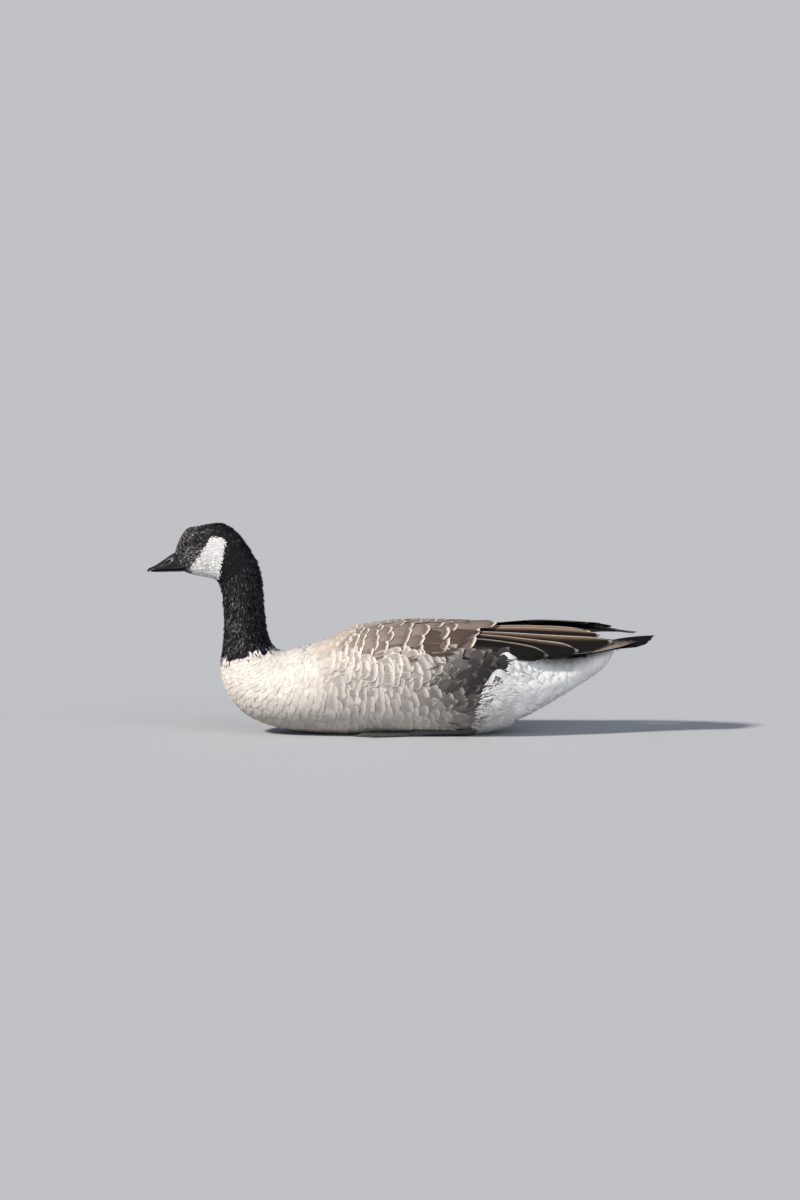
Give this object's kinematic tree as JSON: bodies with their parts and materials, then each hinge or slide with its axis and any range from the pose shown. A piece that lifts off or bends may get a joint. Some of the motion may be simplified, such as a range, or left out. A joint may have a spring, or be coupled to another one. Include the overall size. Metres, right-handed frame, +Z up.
{
  "type": "canada goose",
  "caption": "Still, life-size Canada goose afloat: long black neck held up in a bend, wings folded over the back, tail level behind, belly flat on the floor and the feet tucked under",
  "frame": {"origin": "the middle of the belly's resting flat, on the floor", "axes": "+Z up; -Y the way the head and bill face, so +Y runs back to the tail; +X the bird's left side"},
  "size_m": [0.2138, 0.7452, 0.3085],
  "materials": {
    "body_plumage": "matte",
    "black_plumage": "matte",
    "wing_feathers": "matte",
    "tail_feathers": "satin",
    "bill_horn": "satin",
    "eye": "gloss",
    "foot_skin": "satin"
  },
  "bodies": {
    "root": {"torso": "body_plumage", "neck_lower": "black_plumage", "neck_upper": "black_plumage", "head": "black_plumage", "bill_upper": "bill_horn", "bill_lower": "bill_horn", "eye_left": "eye", "eye_right": "eye", "wing_left": "wing_feathers", "wing_right": "wing_feathers", "tail": "tail_feathers", "leg_left": "foot_skin", "leg_right": "foot_skin"}
  },
  "joints": []
}
